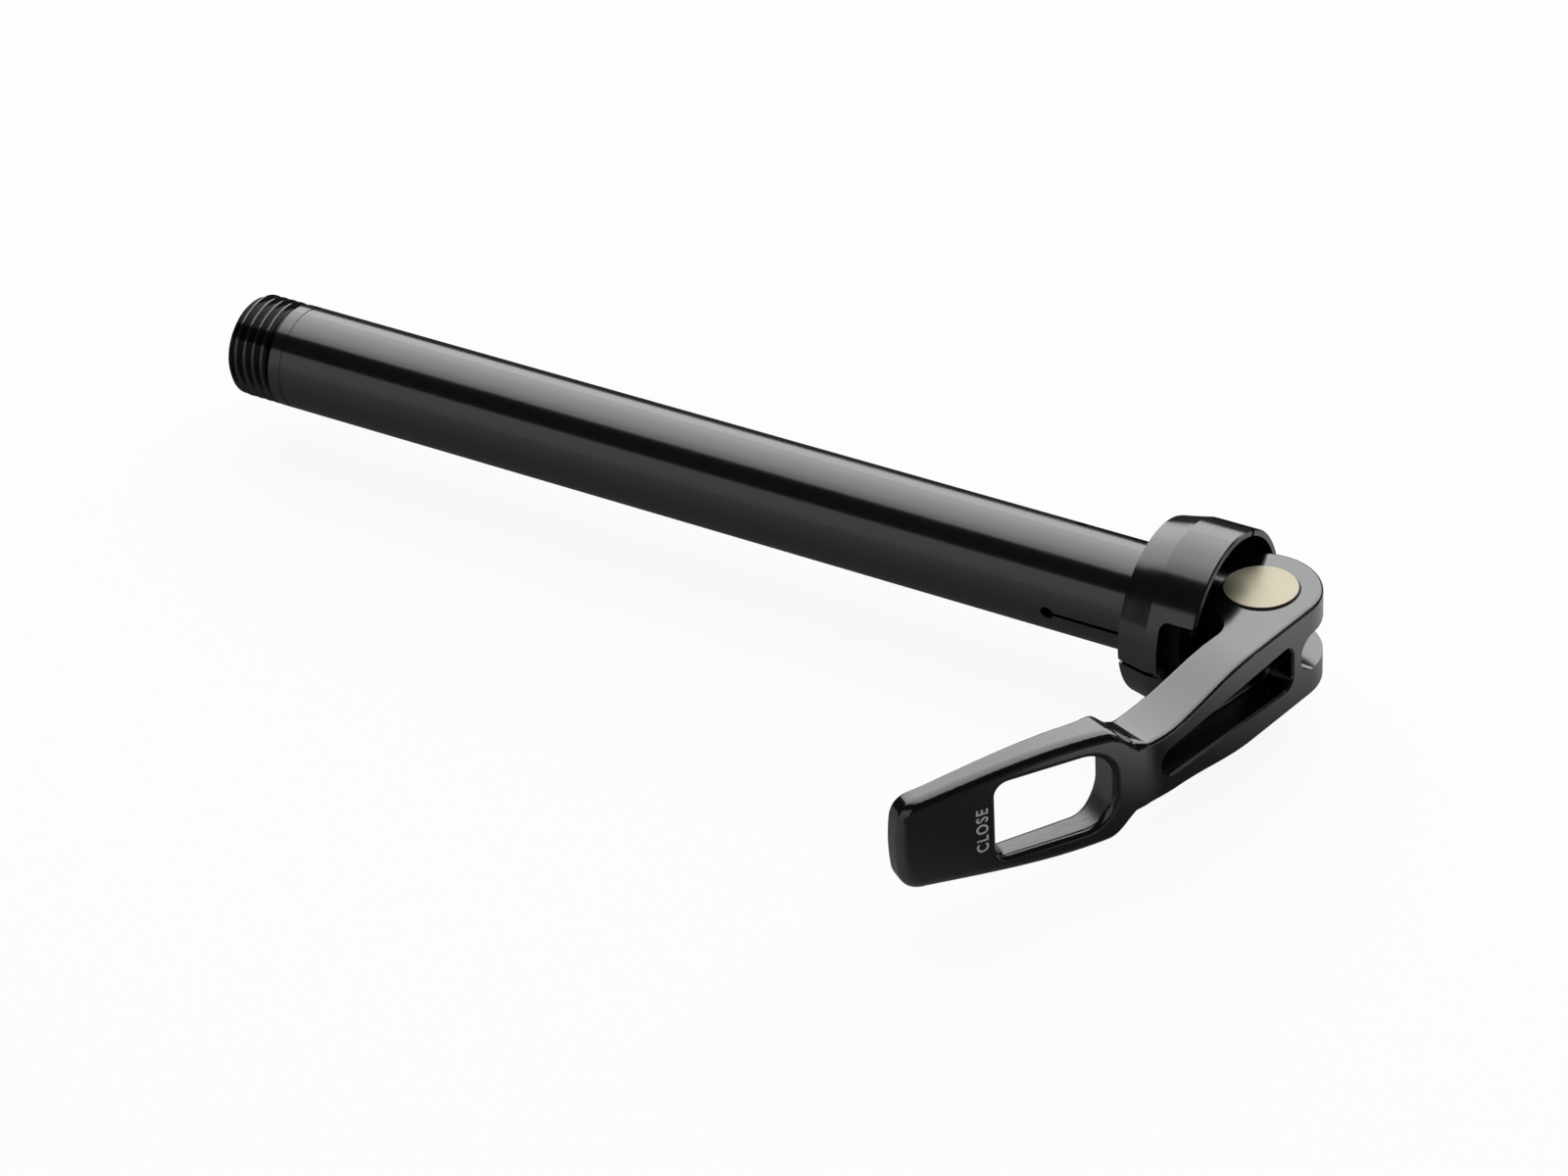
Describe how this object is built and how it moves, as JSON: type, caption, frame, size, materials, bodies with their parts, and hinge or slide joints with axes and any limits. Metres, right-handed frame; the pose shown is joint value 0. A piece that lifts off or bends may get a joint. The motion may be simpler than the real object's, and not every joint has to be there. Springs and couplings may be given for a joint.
{
  "type": "bicycle thru axle",
  "caption": "Quick-release thru axle: hollow threaded shank, slotted expanding collar, and a cam lever with a finger window on a barrel pin.",
  "frame": {"origin": "on the axle's centre line, at the collar's inboard face that seats on the fork leg", "axes": "+X along the axle towards the lever, -X towards the threaded end, +Z along the lever's barrel pin, -Y the side that the closed lever lies on"},
  "size_m": [0.1714, 0.0774, 0.0262],
  "materials": {
    "black_anodised": "polished gloss black anodising",
    "black_lever": "polished gloss black anodising",
    "cone_aluminium": "satin black anodising",
    "seat_plastic": "smooth black acetal",
    "spring_steel": "bright spring steel",
    "rod_steel": "plated steel",
    "champagne_pin": "satin champagne anodising",
    "nut_aluminium": "plain turned aluminium",
    "seal_rubber": "black nitrile"
  },
  "bodies": {
    "axle": {"axle_tube": "black_anodised", "spring_washer": "spring_steel", "return_spring": "spring_steel", "retaining_ring": "spring_steel"},
    "rod": {"draw_rod": "rod_steel", "barrel_pin": "champagne_pin", "nut_washer": "rod_steel"},
    "handle": {"lever": "black_lever"},
    "wedge": {"expander_cone": "cone_aluminium", "cam_seat": "seat_plastic"},
    "adjuster": {"tension_nut": "nut_aluminium", "seal_ring": "seal_rubber"}
  },
  "joints": [
    {"name": "rod_swivel", "type": "hinge", "parent": "axle", "child": "rod", "pos_m": [0, 0, 0], "axis": [1, 0, 0], "continuous": true},
    {"name": "lever_hinge", "type": "hinge", "parent": "rod", "child": "handle", "pos_m": [0.01495, 0, 0], "axis": [0, 0, 1], "range_deg": [0, 160]},
    {"name": "wedge_slide", "type": "slide", "parent": "rod", "child": "wedge", "axis": [1, 0, 0], "range_m": [0, 0.00045]},
    {"name": "nut_turn", "type": "hinge", "parent": "rod", "child": "adjuster", "pos_m": [0, 0, 0], "axis": [1, 0, 0], "continuous": true}
  ],
  "couplings": [
    {"joint": "wedge_slide", "follows": "lever_hinge", "m_per_rad": 0.000161}
  ]
}
